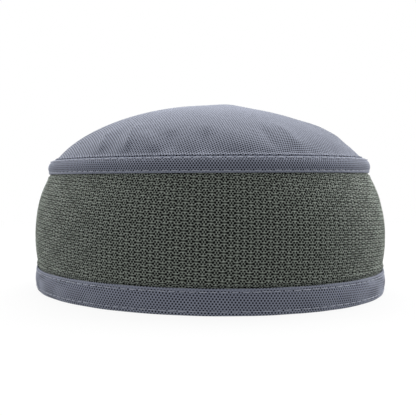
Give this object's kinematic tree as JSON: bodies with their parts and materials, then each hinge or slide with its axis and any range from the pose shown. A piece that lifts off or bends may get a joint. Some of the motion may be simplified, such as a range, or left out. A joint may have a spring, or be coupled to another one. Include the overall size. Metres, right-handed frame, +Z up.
{
  "type": "kufi cap",
  "caption": "Brimless round cloth cap: a domed woven crown, a knitted mesh side band, a narrow trim over the crown seam and a wider trim folded over the rim.",
  "frame": {"origin": "centre of the rim, on the surface that the cap stands on", "axes": "+Z up through the crown, front towards -Y, the oval's long axis along Y and its short axis along X"},
  "size_m": [0.179, 0.2004, 0.0983],
  "materials": {
    "crown_cloth": "matt woven",
    "trim_cloth": "matt woven",
    "side_mesh": "matt knitted mesh"
  },
  "bodies": {
    "root": {"crown": "crown_cloth", "upper_trim": "trim_cloth", "side_band": "side_mesh", "lower_trim": "trim_cloth"}
  },
  "joints": []
}
